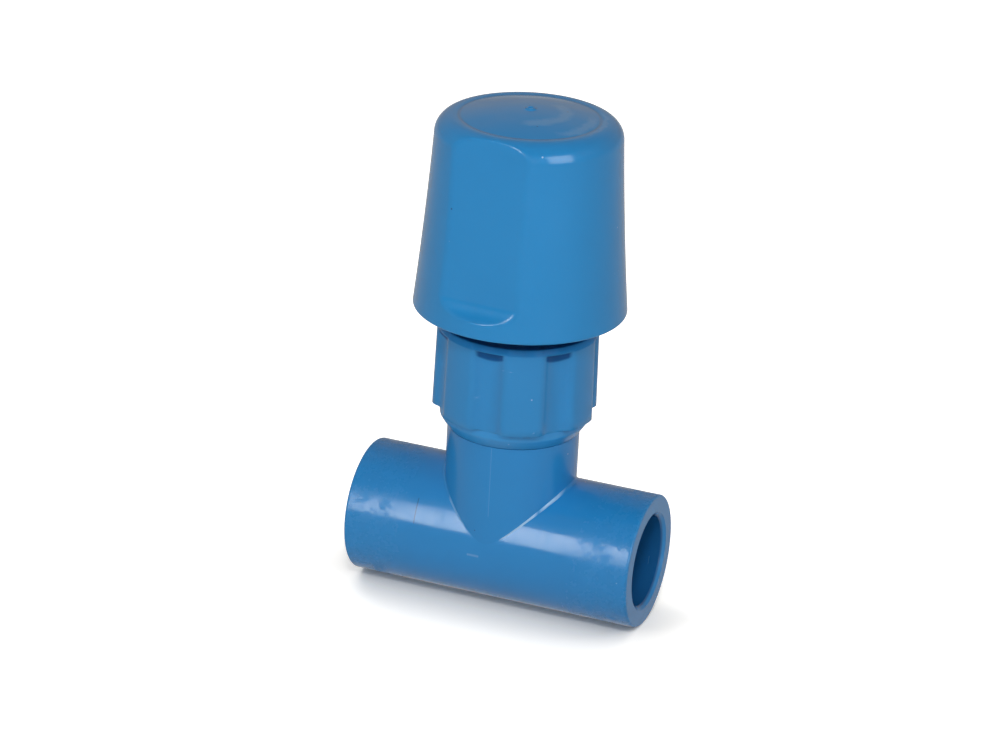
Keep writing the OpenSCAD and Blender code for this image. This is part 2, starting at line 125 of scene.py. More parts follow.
def weld(points, quads):
    """One vertex for each place: equal points are merged and faces that collapse to a line are dropped."""
    keys = np.round(points * 1e7).astype(np.int64)
    _, first, index = np.unique(keys, axis=0, return_index=True, return_inverse=True)
    faces = index.reshape(-1)[quads]
    after = np.roll(faces, -1, axis=1)
    distinct = (faces != after).sum(axis=1)
    whole = faces[distinct == 4].tolist()
    short = faces[distinct == 3]
    keep = short != np.roll(short, 1, axis=1)
    triangles = short[keep].reshape(-1, 3).tolist()
    return points[first], whole + triangles


def grid_quads(rows, columns, wrap_rows=False, wrap_columns=True):
    """Corner numbers of the faces between neighbouring rows and columns of a grid."""
    row = np.arange(rows if wrap_rows else rows - 1)
    column = np.arange(columns if wrap_columns else columns - 1)
    r, c = np.meshgrid(row, column, indexing="ij")
    r_next, c_next = (r + 1) % rows, (c + 1) % columns
    corners = [r * columns + c, r * columns + c_next, r_next * columns + c_next, r_next * columns + c]
    return np.stack(corners, axis=-1).reshape(-1, 4)


def piece(name, grids, body, material, replaces=()):
    """Joins grids of points in millimetres into one smooth mesh that rides on a body of the frame."""
    points, quads, used = [], [], 0
    for grid, wrap_rows, wrap_columns in grids:
        rows, columns = grid.shape[:2]
        quads.append(grid_quads(rows, columns, wrap_rows, wrap_columns) + used)
        points.append(grid.reshape(-1, 3))
        used += rows * columns
    vertices, faces = weld(np.concatenate(points) * MM, np.concatenate(quads))
    mesh = bpy.data.meshes.new(name)
    mesh.from_pydata(vertices.tolist(), [], faces)
    mesh.update()
    mesh.shade_smooth()
    made = bpy.data.objects.new(name, mesh)
    bpy.context.scene.collection.objects.link(made)
    made.data.materials.append(material)
    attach(made, body)
    if replaces:
        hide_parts(*replaces)
    return made


def around_axis(radius, height, angle):
    """Points at a distance from the spindle, a height and an angle in radians, as one array."""
    radius, height, angle = np.broadcast_arrays(radius, height, angle)
    return np.stack([radius * np.cos(angle), radius * np.sin(angle), height], axis=-1)


def arc(centre, radius, start, end, count):
    """Points of a profile on an arc, from one angle to another, counted from outwards up, in degrees."""
    turn = np.radians(np.linspace(start, end, count))
    return np.stack([centre[0] + radius * np.cos(turn), centre[1] + radius * np.sin(turn)], axis=-1)


def line(start, end, count):
    """Points evenly along a straight line of a profile, both ends included."""
    share = np.linspace(0, 1, count)[:, None]
    return np.asarray(start) * (1 - share) + np.asarray(end) * share


def smooth_least(a, b, width):
    """The lesser of two distances, with the corner where they cross rounded over a width."""
    share = np.clip(0.5 + 0.5 * (b - a) / width, 0, 1)
    return b * (1 - share) + a * share - width * share * (1 - share)


def crowded_angles(count, centres, spread, weight):
    """Angles round a full turn, packed more closely round some centres, all in radians."""
    fine = np.linspace(0, 2 * np.pi, 7201)
    gap = (fine[:, None] - np.asarray(centres)[None, :] + np.pi) % (2 * np.pi) - np.pi
    density = 1 + weight * np.exp(-((gap / spread) ** 2)).sum(axis=1)
    total = np.concatenate([[0], np.cumsum((density[1:] + density[:-1]) / 2)])
    return np.interp(np.arange(count) / count * total[-1], total, fine)


# Handle


def side_radius(h):
    """Radius of the handle's side: a straight taper, hollowed by a shallow parabola."""
    t = h / SIDE_H
    return HANDLE_R + (HANDLE_TOP_R - HANDLE_R) * t - 4 * HANDLE_FLARE * t * (1 - t)


TURN_R = HANDLE_TOP_R - SHOULDER_R
CROWN_H = HANDLE_H - DOME_RISE
SIDE_H = CROWN_H - math.sqrt(SHOULDER_R ** 2 - DOME_INSET ** 2)
DOME_R = TURN_R - DOME_INSET
DOME_BALL_R = (DOME_R ** 2 + DOME_RISE ** 2) / (2 * DOME_RISE)
FLAT_LOW_D = side_radius(FLAT_START) * math.cos(math.radians(FLAT_LOW_ANGLE))
FLAT_HIGH_D = side_radius(SIDE_H) * math.cos(math.radians(FLAT_HIGH_ANGLE))
FLAT_SLOPE = (FLAT_LOW_D - FLAT_HIGH_D) / (SIDE_H - FLAT_START)
FLAT_FACE = math.radians(FLAT_TURN - 90)


def flat_distance(h, shift):
    """Distance of a thumb flat from the spindle: a sloping line that sweeps out in an arc at its foot."""
    tilt = math.atan(FLAT_SLOPE)
    mid_d = FLAT_LOW_D - shift + FLAT_SWEEP * math.cos(tilt)
    mid_h = FLAT_START + FLAT_SWEEP * math.sin(tilt)
    reach = np.clip(FLAT_SWEEP ** 2 - (h - mid_h) ** 2, 0, None)
    swept = np.where(reach > 0, mid_d - np.sqrt(reach), 2 * HANDLE_R)
    return np.where(h < FLAT_START, swept, FLAT_LOW_D - shift - FLAT_SLOPE * (h - FLAT_START))


def with_flats(radius, h, angle, shift, edge):
    """Radius after both thumb flats are taken off: the lesser of the round and each flat's own distance."""
    for face in (FLAT_FACE, FLAT_FACE + math.pi):
        lean = (angle - face + np.pi) % (2 * np.pi) - np.pi
        facing = np.abs(lean) < 1.2
        cut = np.where(facing, flat_distance(h, shift) / np.cos(np.where(facing, lean, 0)), 2 * HANDLE_R)
        radius = smooth_least(radius, cut, edge)
    return radius


def handle_profile():
    """Outer profile of the handle from the middle of its top down to its lower edge."""
    crease = math.degrees(math.atan2(CROWN_H - SIDE_H, DOME_R - TURN_R))
    dome_r = np.linspace(GATE_R + 0.25, DOME_R - 0.25, 34)
    dome_h = HANDLE_H - DOME_BALL_R + np.sqrt(DOME_BALL_R ** 2 - dome_r ** 2)
    gate = [[0, HANDLE_H - 0.05], [0.4, HANDLE_H - 0.05], [0.5, HANDLE_H], [0.58, HANDLE_H + GATE_H - 0.05],
            [0.66, HANDLE_H + GATE_H], [GATE_R - 0.12, HANDLE_H + GATE_H], [GATE_R, HANDLE_H + GATE_H - 0.1],
            [GATE_R + 0.05, HANDLE_H + 0.06]]
    shoulder = arc((TURN_R, SIDE_H), SHOULDER_R, crease, 0, 48)
    low = FLAT_START + 3
    side_h = np.concatenate([np.linspace(SIDE_H, low, 46)[1:], np.linspace(low, 1.0, 62)[1:]])
    side = np.stack([side_radius(side_h), side_h], axis=-1)
    edge = arc((side_radius(0.5) - 0.5, 0.5), 0.5, 0, -90, 7)
    return np.concatenate([gate, np.stack([dome_r, dome_h], axis=-1), shoulder, side, edge])


def hollow_profile():
    """Profile of the hollow from the handle's lower edge up to the middle of its ceiling."""
    top = CROWN_H - HANDLE_WALL
    inner = SHOULDER_R - HANDLE_WALL
    mouth_r = side_radius(0) - HANDLE_WALL
    side_h = np.linspace(0.6, SIDE_H, 26)
    wall = np.stack([side_radius(side_h) - HANDLE_WALL, side_h], axis=-1)
    corner = arc((TURN_R, SIDE_H), inner, 0, 90, 12)[1:]
    ceiling = line((TURN_R - 1, top), (0, top), 6)
    return np.concatenate([arc((mouth_r + 0.4, 0.4), 0.4, 270, 180, 5), wall, corner, ceiling])


def ring_dip(radius, dip):
    """Height of a ring-shaped dip: a bell curve across its width, down to its depth."""
    middle, width, depth = dip
    return -depth * np.exp(-(((radius - middle) / width) ** 2))


def sink_marks(radius, angle):
    """Small dips of the top over the ribs and low rings over the boss and the wall, in millimetres."""
    ribs = 0.5 + 0.5 * np.cos(RIB_COUNT * (angle - math.radians(FLAT_TURN)))
    return ring_dip(radius, DIP_RIBS) * ribs ** 3 + ring_dip(radius, DIP_BOSS) + ring_dip(radius, DIP_WALL)


def make_handle(material):
    """Shell of the handle as one closed grid, with its boss and ribs inside."""
    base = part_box("handle")[0].z / MM
    flat_edges = [FLAT_FACE + turn + side * math.radians((FLAT_LOW_ANGLE + FLAT_HIGH_ANGLE) / 2)
                  for turn in (0, math.pi) for side in (-1, 1)]
    angle = crowded_angles(396, flat_edges, math.radians(4), 2.2)[None, :]
    outer, inner = handle_profile(), hollow_profile()
    r, h = outer[:, :1], outer[:, 1:]
    top = np.clip((DOME_R + 0.4 - r) / 0.6, 0, 1)
    rise = sink_marks(r, angle) * top
    outside = around_axis(with_flats(r, h, angle, 0, FLAT_EDGE), h + rise + base, angle)
    r, h = inner[:, :1], inner[:, 1:]
    inside = around_axis(with_flats(r, h, angle, HANDLE_WALL, FLAT_EDGE), h + base, angle)
    grid = np.concatenate([outside, inside])[::-1]
    shell = piece("handle_shell", [(grid, False, True)], "spindle", material, ["handle"])
    ceiling = CROWN_H - HANDLE_WALL + CEILING_ROOT
    make_boss(base, ceiling, material)
    make_ribs(base, ceiling, material)
    return shell


def make_boss(base, ceiling, material):
    """Tube under the ceiling whose bore has one groove for each tooth of the spindle's drive."""
    count = SPLINE_TEETH * 12
    angle = np.arange(count) / count * 2 * np.pi
    wave = 0.5 + 0.5 * np.clip(1.6 * np.cos(SPLINE_TEETH * angle), -1, 1)
    bore = SPLINE_R - SPLINE_DEPTH * (1 - wave)
    plain = np.full(count, BOSS_R)
    bevel_z = BOSS_Z + BOSS_BEVEL
    rings = [(bore, SPLINE_TOP), (bore, bevel_z), (bore + BOSS_BEVEL, BOSS_Z), (plain - BOSS_BEVEL, BOSS_Z),
             (plain, bevel_z), (plain, ceiling), (plain * 0, ceiling), (plain * 0, SPLINE_TOP)]
    grid = np.stack([around_axis(r, h + base, angle) for r, h in rings])
    return piece("handle_boss", [(grid, True, True)], "spindle", material)


def make_ribs(base, ceiling, material):
    """Plates between boss and wall, each a loft from its root on the boss to its root on the wall."""
    grids = []
    half = RIB_T / 2
    for number in range(RIB_COUNT):
        turn = math.radians(FLAT_TURN + number * 360 / RIB_COUNT)
        reach = np.linspace(BOSS_R - ROOT_DEPTH, TURN_R + RIB_REACH, 12)
        low = RIB_LOW_BOSS + (RIB_LOW_WALL - RIB_LOW_BOSS) * (reach - BOSS_R) / (HANDLE_TOP_R - BOSS_R)
        high = np.full_like(reach, ceiling)
        across = np.array([-half, half, half, -half])
        height = np.stack([low, low, high, high], axis=-1) + base
        x = reach[:, None] * math.cos(turn) - across[None, :] * math.sin(turn)
        y = reach[:, None] * math.sin(turn) + across[None, :] * math.cos(turn)
        body = np.stack([x, y, height], axis=-1)
        ends = [np.broadcast_to(body[i].mean(axis=0), (1, 4, 3)) for i in (0, -1)]
        grids.append((np.concatenate([ends[0], body, ends[1]]), False, True))
    made = piece("handle_ribs", grids, "spindle", material)
    made.data.shade_flat()
    return made


# Nut


def fluted_radius(angle):
    """Distance of the nut's outline from the spindle: pad arc, rounded edge and concave flute, in turn."""
    pitch = 2 * np.pi / PAD_COUNT
    flute_mid = FLUTE_BOTTOM_R + FLUTE_R
    edge_mid = PAD_R - PAD_ROUND
    reach = FLUTE_R + PAD_ROUND
    half = math.acos((flute_mid ** 2 + edge_mid ** 2 - reach ** 2) / (2 * flute_mid * edge_mid))
    touch_x = flute_mid + (edge_mid * math.cos(half) - flute_mid) * FLUTE_R / reach
    touch_y = edge_mid * math.sin(half) * FLUTE_R / reach
    touch = math.atan2(touch_y, touch_x)
    first = math.radians(NUT_TURN - 90) + pitch / 2
    lean = np.abs((angle - first + pitch / 2) % pitch - pitch / 2)
    in_flute = np.clip(lean, 0, touch)
    flute = flute_mid * np.cos(in_flute) - np.sqrt(FLUTE_R ** 2 - (flute_mid * np.sin(in_flute)) ** 2)
    in_edge = np.clip(lean, touch, half)
    rounded = np.sqrt(np.clip(PAD_ROUND ** 2 - (edge_mid * np.sin(in_edge - half)) ** 2, 0, None))
    rounded = edge_mid * np.cos(in_edge - half) + rounded
    return np.where(lean < touch, flute, np.where(lean < half, rounded, PAD_R))


def nut_outside(angle):
    """Rows of the nut from its lower edge up over foot, skirt, pads, collar and top to its lip's bore.

    Pads and flutes taper by a straight draft. Each flute runs out below the collar along a quarter circle.
    """
    base, top = (corner.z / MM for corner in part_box("bonnet_nut"))
    height = top - base
    outline = fluted_radius(angle)
    skirt = smooth_least(outline, np.full_like(outline, SKIRT_R), 0.3)
    rows = []
    for h in np.concatenate([[0, 0.06, 0.15], np.linspace(0.3, PAD_START - 0.4, 16)]):
        foot_r = NUT_EDGE_R - 0.15 + 0.15 * min(1, h / 0.15) ** 0.5 + (SKIRT_R - NUT_EDGE_R) * h / NUT_FOOT
        rows.append((smooth_least(skirt, foot_r, 0.25), h - NUT_LOW * max(0, 1 - h / NUT_FOOT)))
    for share in np.linspace(0, 1, 12):
        swell = share * share * (3 - 2 * share)
        rows.append((skirt + (outline - skirt) * swell, PAD_START - 0.15 + 0.4 * share))
    low = PAD_START + 0.25
    collar_z = height - COLLAR_H
    runout_z = collar_z - FLUTE_RUNOUT
    for h in np.linspace(low, runout_z, 12)[1:]:
        rows.append((outline - PAD_DRAFT * (h - low) / (height - low), h))
    for share in np.linspace(0, 1, 12)[1:]:
        h = runout_z + FLUTE_RUNOUT * share
        drafted = outline - PAD_DRAFT * (h - low) / (height - low)
        outwards = np.maximum(drafted, COLLAR_R) - drafted
        rows.append((drafted + outwards * (1 - math.sqrt(1 - share * share)), h))
    collar = np.maximum(outline - PAD_DRAFT, COLLAR_R)
    for share in (0.33, 0.67, 1):
        rows.append((collar - COLLAR_LEAN * share, collar_z + (COLLAR_H - NUT_TOP_ROUND) * share))
    for turn in np.radians(np.linspace(0, 90, 8))[1:]:
        inset = COLLAR_LEAN + NUT_TOP_ROUND * (1 - math.cos(turn))
        rows.append((collar - inset, height - NUT_TOP_ROUND * (1 - math.sin(turn))))
    rim = collar - COLLAR_LEAN - NUT_TOP_ROUND
    for share in (0.3, 0.7, 1):
        rows.append((rim + (NUT_LIP_BORE_R + NUT_BEVEL - rim) * share, height))
    return [(r, h + base) for r, h in rows]


def make_nut(material):
    """The nut as one closed ring of rows: outside, lip bore, underside of the lip and main bore."""
    pitch = 2 * math.pi / PAD_COUNT
    first = math.radians(NUT_TURN - 90) + pitch / 2
    centres = [first + i * pitch + side * math.radians(11) for i in range(PAD_COUNT) for side in (-1, 1)]
    angle = crowded_angles(504, centres, math.radians(5), 1.2)
    rows = nut_outside(angle)
    base, top = (corner.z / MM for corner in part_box("bonnet_nut"))
    plain = np.ones_like(angle)
    inner = [(NUT_LIP_BORE_R, top - NUT_BEVEL), (NUT_LIP_BORE_R, NUT_LIP_Z), (NUT_BORE_R, NUT_LIP_Z),
             (NUT_BORE_R, base + NUT_BEVEL), (NUT_BORE_R + NUT_BEVEL, base - NUT_LOW)]
    rows += [(plain * r, h) for r, h in inner]
    grid = np.stack([around_axis(r, h, angle) for r, h in rows])
    return piece("nut_shell", [(grid, True, True)], "valve_body", material, ["bonnet_nut"])


# Saddle between neck and tube


def make_saddle(material):
    """Fillet where the neck meets the tube, as a closed ring round the neck.

    The neck's wall meets the tube along the points x = r cos t, y = r sin t, at the tube's own height.
    The fillet starts on the neck above that edge, ends on the tube beyond it, and follows a quadratic
    curve whose middle point is where the two surfaces' tangents cross. Its root lies inside the body.
    """
    turn = np.arange(720) / 720 * 2 * np.pi
    ratio = NECK_R / TUBE_R
    lean = np.arcsin(ratio * np.sin(turn))
    edge = np.stack([NECK_R * np.cos(turn), NECK_R * np.sin(turn), TUBE_AXIS_Z + TUBE_R * np.cos(lean)], -1)
    bend = np.arccos(ratio * np.sin(turn) ** 2)
    reach = SADDLE_FILLET * np.tan(bend / 2)
    on_neck = edge + np.stack([0 * turn, 0 * turn, reach], -1)
    across = NECK_R * np.cos(turn) / np.cos(lean)
    along = NECK_R * np.sin(turn)
    size = np.hypot(across, along)
    out_x = edge[:, 0] + reach * across / size
    out_lean = lean + reach * along / size / TUBE_R
    normal = np.stack([0 * turn, np.sin(out_lean), np.cos(out_lean)], -1)
    on_tube = np.stack([out_x, TUBE_R * normal[:, 1], TUBE_AXIS_Z + TUBE_R * normal[:, 2]], -1)
    drop = ((on_neck - on_tube) * normal).sum(-1) / normal[:, 2]
    middle = on_neck - np.stack([0 * turn, 0 * turn, drop], -1)
    share = np.linspace(0, 1, 11)[:, None, None]
    curve = (1 - share) ** 2 * on_neck + 2 * share * (1 - share) * middle + share ** 2 * on_tube
    root = edge * np.array([0.97, 0.97, 1.0]) - np.array([0, 0, ROOT_DEPTH])
    grid = np.concatenate([curve, root[None]])
    return piece("neck_fillet", [(grid, True, True)], "valve_body", material)


# Shader building


def linear(red, green, blue):
    """A screen colour in steps of 0 to 255 as the linear colour that a shader takes."""
    share = np.array([red, green, blue]) / 255
    light = np.where(share <= 0.04045, share / 12.92, ((share + 0.055) / 1.055) ** 2.4)
    return (*light.tolist(), 1.0)


def node(tree, kind, **values):
    """Adds a node and sets its properties by name, and its inputs by number or name."""
    made = tree.nodes.new(kind)
    for name, value in values.items():
        if name == "inputs":
            for key, item in value.items():
                made.inputs[key].default_value = item
        else:
            setattr(made, name, value)
    return made


def put(tree, value, socket):
    """Feeds an input from another node's output, or sets it where the value is a plain number or colour."""
    if isinstance(value, bpy.types.NodeSocket):
        tree.links.new(value, socket)
    else:
        socket.default_value = value


def maths(tree, operation, *values):
    """The result of one operation on outputs of other nodes or plain numbers."""
    made = node(tree, "ShaderNodeMath", operation=operation)
    for socket, value in zip(made.inputs, values):
        put(tree, value, socket)
    return made.outputs[0]


def product(tree, *values):
    """Masks and shares multiplied together, from first to last."""
    total = values[0]
    for value in values[1:]:
        total = maths(tree, "MULTIPLY", total, value)
    return total


def spread(tree, value, low, high, to_low=0.0, to_high=1.0, curve="LINEAR"):
    """A value carried from one range to another, and held at its ends."""
    made = node(tree, "ShaderNodeMapRange", interpolation_type=curve,
                inputs={"From Min": low, "From Max": high, "To Min": to_low, "To Max": to_high})
    put(tree, value, made.inputs["Value"])
    return made.outputs["Result"]


def between(tree, value, low, high, soft):
    """A mask that is full while a value lies between two limits and fades over a width outside them."""
    rise = spread(tree, value, low - soft, low)
    fall = spread(tree, value, high + soft, high)
    return product(tree, rise, fall)


def band(tree, length, low, high, soft):
    """The same mask for a length, with its limits in millimetres."""
    return between(tree, length, low * MM, high * MM, soft * MM)


def noise(tree, place, scale, detail, rough):
    """Cloudy noise between 0 and 1, with a number of cells to the metre."""
    made = node(tree, "ShaderNodeTexNoise", inputs={"Scale": scale, "Detail": detail, "Roughness": rough})
    put(tree, place, made.inputs["Vector"])
    return made.outputs["Fac"]


def blend(tree, share, under, over):
    """A colour between two others, nearer the second as the share grows."""
    made = node(tree, "ShaderNodeMix", data_type="RGBA")
    for key, value in (("Factor", share), ("A", under), ("B", over)):
        put(tree, value, made.inputs[key])
    return made.outputs["Result"]


def object_place(tree):
    """Place of a point in the valve's own frame, in metres."""
    return tree.nodes.new("ShaderNodeTexCoord").outputs["Object"]


def axes(tree, place):
    """The three coordinates of a place, one output each."""
    split = tree.nodes.new("ShaderNodeSeparateXYZ")
    put(tree, place, split.inputs[0])
    return tuple(split.outputs)


def stretched(tree, place, scale, rotation=(0, 0, 0)):
    """A place turned and stretched, so that a noise on it draws lines."""
    made = node(tree, "ShaderNodeMapping", inputs={"Rotation": rotation, "Scale": scale})
    put(tree, place, made.inputs["Vector"])
    return made.outputs["Vector"]


def reach_from(tree, place, centre_line):
    """Distance of a place from a centre line, given as a point on it and a 1 for each axis across it."""
    point, across = centre_line
    moved = node(tree, "ShaderNodeVectorMath", operation="SUBTRACT", inputs={1: point})
    put(tree, place, moved.inputs[0])
    flat = node(tree, "ShaderNodeVectorMath", operation="MULTIPLY", inputs={1: across})
    put(tree, moved.outputs[0], flat.inputs[0])
    made = node(tree, "ShaderNodeVectorMath", operation="LENGTH")
    put(tree, flat.outputs[0], made.inputs[0])
    return made.outputs["Value"]


def new_material(name):
    """A material with nodes, and its tree."""
    material = bpy.data.materials.new(name)
    material.use_nodes = True
    return material, material.node_tree


def bumped(tree, height, strength, distance):
    """Gives a material's shader the relief of a height, in metres of depth."""
    bump = node(tree, "ShaderNodeBump", inputs={"Strength": strength, "Distance": distance})
    put(tree, height, bump.inputs["Height"])
    put(tree, bump.outputs["Normal"], tree.nodes["Principled BSDF"].inputs["Normal"])


# Marks, painted light, shade and reflections on the surfaces, with lengths in millimetres and angles in
# degrees

TUBE_LINE = ((0, 0, TUBE_AXIS_Z * MM), (0, 1, 1))
SPINDLE_LINE = ((0, 0, 0), (1, 1, 0))
FAR = 1000.0
FRONT_Y = -3.0
PLAIN_SPECULAR = 0.5

# Painted shade inside the pipe sockets: radius where it starts and where it is full, its amount and colour
SOCKET_SHADE_R = (10.55, 10.25)
SOCKET_SHADE = 0.62
SOCKET_SHADE_TONE = linear(14, 44, 98)
# Left, right, low, high, amount and colour of the neck's mould line, a dark and a pale scratch
BODY_MARKS = (
    (0.60, 0.70, 24.5, 40.3, 0.12, linear(140, 190, 228)),
    (-16.84, -16.68, 19.00, 23.75, 0.6, linear(10, 50, 96)),
    (-3.68, -1.10, 14.49, 14.63, 0.3, linear(150, 190, 225)),
)
COMB_SCALE = (700, 60, 60)
COMB_ROUGH = 0.12
RUB_X = (17.0, 25.0)
RUB_ROUGH = 0.3
TUBE_SKIN_R = (14.2, 14.6)

# Painted highlights, pale lines that stand for the light on the fillet's edge: left, right and amount of
# each stretch
FILLET_SHINE = ((4.0, 9.8, 0.75), (11.3, 13.4, 0.55), (-9.5, -5.5, 0.25))
SHINE_TONE = linear(170, 205, 232)

CAP_TOP = 109.8
CAP_WAVER = 2.8
# Painted reflections on the top, pale smears and a brown line along the crease: start and end angle, near
# and far edge, amount, colour and soft width, where 0 is a clean ring
CAP_REFLECTIONS = (
    (-70, 55, 8.3, 9.6, 0.2, linear(150, 180, 205), 1.3),
    (-32, 12, 14.2, 15.2, 0.2, linear(150, 180, 205), 0.9),
    (-10, 30, 17.3, 17.6, 0.14, linear(150, 180, 205), 0.5),
    (-180, 180, 14.85, 15.15, 0.26, linear(96, 92, 84), 0),
)
FLAT_FOOT_Z = (71.7, 75.2)
FLAT_FOOT_R = 22.1
FLAT_FOOT_Y = -16.5
FLAT_FOOT_MATT = 0.26

# Painted shade on the collar under the handle, painted light on the skirt and painted shade on the foot:
# height where each starts and where it is full, its amount and colour
NUT_LIGHT_AND_SHADE = (
    (63.2, 63.6, 0.3, linear(20, 96, 175)),
    (45.1, 44.6, 0.3, linear(64, 158, 226)),
    (42.5, 41.2, 0.25, linear(22, 92, 150)),
)
COLLAR_SPECULAR = 0.08
FLUTE_SHADE = (49.8, 50.4)
FLUTE_LEAN = -0.7
FLUTE_DARK = 0.85
FLUTE_HOLLOW_R = (17.35, 16.8)
FLUTE_SHADE_TONE = linear(8, 66, 126)


def moulding_group():
    """Colour, roughness and height of a moulded face: cloudy pigment, specks, scuffs and flow ripples."""
    tree = bpy.data.node_groups.new("moulded_face", "ShaderNodeTree")
    for name, kind, value in (("Color", "NodeSocketColor", (0.5, 0.5, 0.5, 1)),
                              ("Deep Color", "NodeSocketColor", (0.3, 0.3, 0.3, 1)),
                              ("Speck Amount", "NodeSocketFloat", 0.5),
                              ("Scuff Amount", "NodeSocketFloat", 0.5),
                              ("Smooth", "NodeSocketFloat", 0.2)):
        made = tree.interface.new_socket(name=name, in_out="INPUT", socket_type=kind)
        made.default_value = value
    for name, kind in (("Color", "NodeSocketColor"), ("Roughness", "NodeSocketFloat"),
                       ("Height", "NodeSocketFloat")):
        tree.interface.new_socket(name=name, in_out="OUTPUT", socket_type=kind)
    start = tree.nodes.new("NodeGroupInput").outputs
    end = tree.nodes.new("NodeGroupOutput").inputs
    place = object_place(tree)

    cloud = spread(tree, noise(tree, place, 45.0, 3.0, 0.55), 0.35, 0.7)
    cloudy = blend(tree, product(tree, cloud, 0.35), start["Color"], start["Deep Color"])

    specks = node(tree, "ShaderNodeTexVoronoi", feature="F1", inputs={"Scale": 420.0, "Randomness": 1.0})
    put(tree, place, specks.inputs["Vector"])
    pick = tree.nodes.new("ShaderNodeSeparateColor")
    put(tree, specks.outputs["Color"], pick.inputs["Color"])
    dot = spread(tree, specks.outputs["Distance"], 0.11, 0.05)
    rare = maths(tree, "GREATER_THAN", pick.outputs["Red"], 0.968)
    pale = maths(tree, "GREATER_THAN", pick.outputs["Green"], 0.6)
    speck = product(tree, dot, rare, start["Speck Amount"])
    speckled = blend(tree, speck, cloudy, blend(tree, pale, linear(20, 60, 110), linear(170, 205, 235)))

    scratches = stretched(tree, place, (26, 700, 700), (0.5, 0.35, 0.9))
    thin = spread(tree, noise(tree, scratches, 1.0, 2.0, 0.6), 0.68, 0.78)
    here = spread(tree, noise(tree, place, 110.0, 4.0, 0.6), 0.56, 0.68)
    scuff = product(tree, thin, here, start["Scuff Amount"])
    put(tree, blend(tree, scuff, speckled, linear(88, 158, 208)), end["Color"])

    smear = spread(tree, noise(tree, place, 75.0, 5.0, 0.65), 0.4, 0.75, to_high=0.1)
    dull = maths(tree, "ADD", start["Smooth"], smear)
    put(tree, maths(tree, "MULTIPLY_ADD", scuff, 0.25, dull), end["Roughness"])

    relief = maths(tree, "MULTIPLY_ADD", scuff, -0.4, noise(tree, place, 150.0, 1.5, 0.4))
    put(tree, maths(tree, "MULTIPLY_ADD", speck, 0.3, relief), end["Height"])
    return tree


MOULDED = moulding_group()


def socket_shade_and_marks(tree, colour):
    """Paints shade inside the pipe sockets, where little light reaches, and the neck's mould line and two
    scratches.
    """
    place = object_place(tree)
    near, deep = SOCKET_SHADE_R
    inside = spread(tree, reach_from(tree, place, TUBE_LINE), near * MM, deep * MM, to_high=SOCKET_SHADE)
    colour = blend(tree, inside, colour, SOCKET_SHADE_TONE)
    x, y, z = axes(tree, place)
    front = band(tree, y, -FAR, FRONT_Y, 0.5)
    for left, right, low, high, amount, tone in BODY_MARKS:
        wide = band(tree, x, left, right, 0.1)
        tall = band(tree, z, low, high, 0.3)
        colour = blend(tree, product(tree, wide, tall, front, amount), colour, tone)
    return colour


def body_wear(tree, rough):
    """Roughens the body by fine lines round its tube, and by rubbing on the tube's skin near its ends."""
    place = object_place(tree)
    lines = noise(tree, stretched(tree, place, COMB_SCALE), 1.0, 3.0, 0.7)
    comb = spread(tree, lines, 0.5, 0.75, to_high=COMB_ROUGH)
    apart = maths(tree, "ABSOLUTE", axes(tree, place)[0])
    ends = spread(tree, apart, RUB_X[0] * MM, RUB_X[1] * MM, to_high=RUB_ROUGH)
    skin = spread(tree, reach_from(tree, place, TUBE_LINE), TUBE_SKIN_R[0] * MM, TUBE_SKIN_R[1] * MM)
    rubbed = spread(tree, noise(tree, place, 420.0, 4.0, 0.65), 0.46, 0.62)
    handled = maths(tree, "MULTIPLY_ADD", rubbed, product(tree, ends, skin), comb)
    return maths(tree, "ADD", rough, handled)


def fillet_shine(tree, colour):
    """Paints pale lines on stretches of the fillet's front, which stand for the light on its edge."""
    x, y, _ = axes(tree, object_place(tree))
    front = band(tree, y, -FAR, FRONT_Y, 0.5)
    for left, right, amount in FILLET_SHINE:
        part = band(tree, x, left, right, 0.8)
        colour = blend(tree, product(tree, part, front, amount), colour, SHINE_TONE)
    return colour


def cap_reflections(tree, colour):
    """Painted reflections on the handle's top, pale smears and a brown line along its crease, and less shine
    on the foot of its front flat.
    """
    place = object_place(tree)
    x, y, z = axes(tree, place)
    turn = maths(tree, "ARCTAN2", y, x)
    reach = reach_from(tree, place, SPINDLE_LINE)
    wavering = maths(tree, "MULTIPLY_ADD", noise(tree, place, 260.0, 3.0, 0.6), CAP_WAVER * MM, reach)
    top = band(tree, z, CAP_TOP, FAR, 0.4)
    for start, end, near, far, amount, tone, soft in CAP_REFLECTIONS:
        ring = band(tree, wavering if soft else reach, near, far, soft or 0.4)
        if end - start < 360:
            ring = product(tree, ring, between(tree, turn, math.radians(start), math.radians(end), 0.25))
        colour = blend(tree, product(tree, ring, top, amount), colour, tone)
    foot = product(tree, band(tree, z, *FLAT_FOOT_Z, 0.3), band(tree, reach, -FAR, FLAT_FOOT_R, 0.3),
                   band(tree, y, -FAR, FLAT_FOOT_Y, 0.5))
    mirror = maths(tree, "MULTIPLY_ADD", foot, -FLAT_FOOT_MATT, PLAIN_SPECULAR)
    put(tree, mirror, tree.nodes["Principled BSDF"].inputs["Specular IOR Level"])
    return colour


